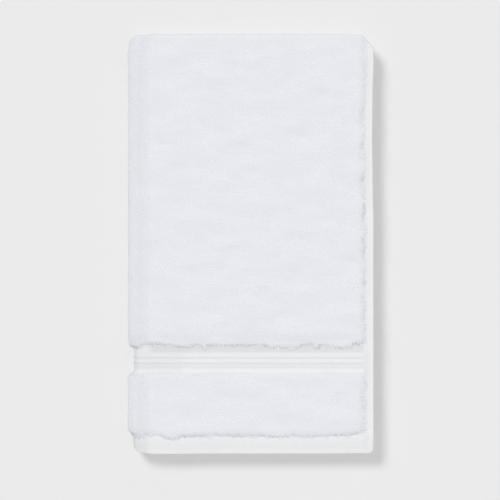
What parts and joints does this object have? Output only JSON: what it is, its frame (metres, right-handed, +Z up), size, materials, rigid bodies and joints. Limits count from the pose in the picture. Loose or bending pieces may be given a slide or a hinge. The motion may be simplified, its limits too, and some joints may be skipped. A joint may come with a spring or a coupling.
{
  "type": "hand towel",
  "caption": "Plush white cotton terry hand towel with ribbed bands and plain hems, folded in half lengthwise and crosswise.",
  "frame": {"origin": "middle of the folded towel's outline, on the surface it rests on", "axes": "+Z up, +Y from the hems towards the end fold, +X from the rolled side fold towards the selvedges"},
  "size_m": [0.2054, 0.3504, 0.0229],
  "materials": {
    "white_cotton_terry": "white looped cotton terry, with flat woven bands, selvedges and hems in the same cotton"
  },
  "bodies": {
    "root": {"hand_towel": "white_cotton_terry"}
  },
  "joints": []
}
